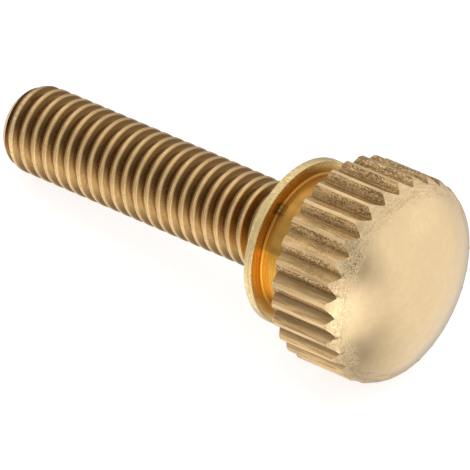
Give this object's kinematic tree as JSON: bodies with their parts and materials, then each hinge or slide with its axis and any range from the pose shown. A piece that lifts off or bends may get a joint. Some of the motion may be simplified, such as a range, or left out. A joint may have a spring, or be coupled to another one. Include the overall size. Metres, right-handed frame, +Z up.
{
  "type": "thumb screw",
  "caption": "Slim machine screw with a thin flange, a plain neck and a domed head with a straight knurl, driven by finger and thumb.",
  "frame": {"origin": "on the surface that the screw lies on, under the centre of its bounding box", "axes": "+Z up, +X along the screw's lie from the end of the thread to the head; the screw's own axis is in the XZ plane and rises 8.60 degrees towards +X"},
  "size_m": [0.0174, 0.007, 0.0072],
  "materials": {
    "brass": "satin turned brass, brighter at the edges and pitted on the knurl flanks"
  },
  "bodies": {
    "root": {"thumb_screw": "brass"}
  },
  "joints": []
}
